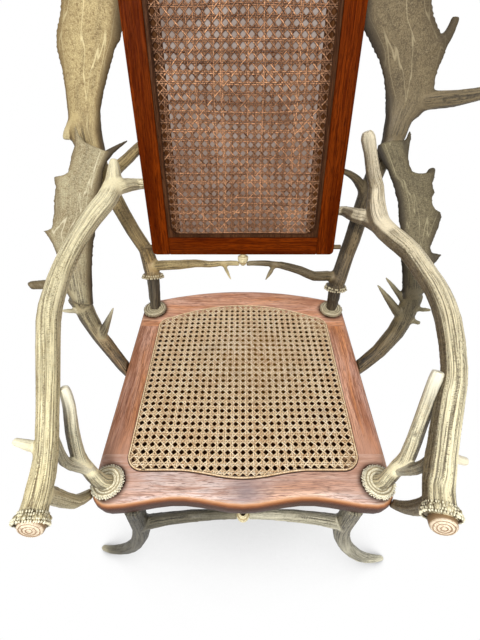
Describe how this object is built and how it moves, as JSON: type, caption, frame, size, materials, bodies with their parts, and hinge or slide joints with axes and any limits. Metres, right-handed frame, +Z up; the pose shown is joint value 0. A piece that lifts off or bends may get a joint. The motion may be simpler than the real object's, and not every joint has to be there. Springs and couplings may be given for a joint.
{
  "type": "armchair",
  "caption": "Rustic armchair with a caned wooden seat and leaning caned back, its arms, posts, side palms and legs made of branched antlers.",
  "frame": {"origin": "on the floor, at the middle of the whole chair's footprint box", "axes": "+Z up, -Y towards the front of the chair, +X to the viewer's right looking at the front"},
  "size_m": [0.9004, 0.7494, 1.2065],
  "materials": {
    "seat_wood": "satin",
    "back_wood": "satin",
    "plain_wood": "matte",
    "seat_cane": "woven",
    "back_cane": "woven",
    "lining": "matte",
    "antler_pale": "satin",
    "antler_brown": "satin",
    "antler_dark": "matte",
    "steel": "dull"
  },
  "bodies": {
    "root": {"seat_rail_front": "seat_wood", "seat_rail_back": "seat_wood", "seat_rail_left": "seat_wood", "seat_rail_right": "seat_wood", "corner_blocks": "plain_wood", "seat_cane": "seat_cane", "seat_cane_binder": "seat_cane", "back_stile_left": "back_wood", "back_stile_right": "back_wood", "back_rail_top": "back_wood", "back_rail_bottom": "back_wood", "back_cane": "back_cane", "back_beading": "back_wood", "back_lining": "lining", "lining_sprigs": "steel", "disc_front_left": "antler_pale", "disc_front_right": "antler_pale", "disc_rear_left": "antler_pale", "disc_rear_right": "antler_pale", "disc_screws": "steel", "post_stub_left": "antler_dark", "post_stub_right": "antler_dark", "post_antler_left": "antler_brown", "post_antler_right": "antler_brown", "back_pegs": "plain_wood", "arm_left": "antler_pale", "arm_right": "antler_pale", "arm_support_left": "antler_pale", "arm_support_right": "antler_pale", "side_antler_left": "antler_brown", "side_antler_right": "antler_brown", "leg_front_left": "antler_brown", "leg_front_right": "antler_brown", "leg_rear_left": "antler_brown", "leg_rear_right": "antler_brown", "back_button": "antler_pale", "front_button": "antler_pale", "rear_button": "antler_pale"}
  },
  "joints": []
}
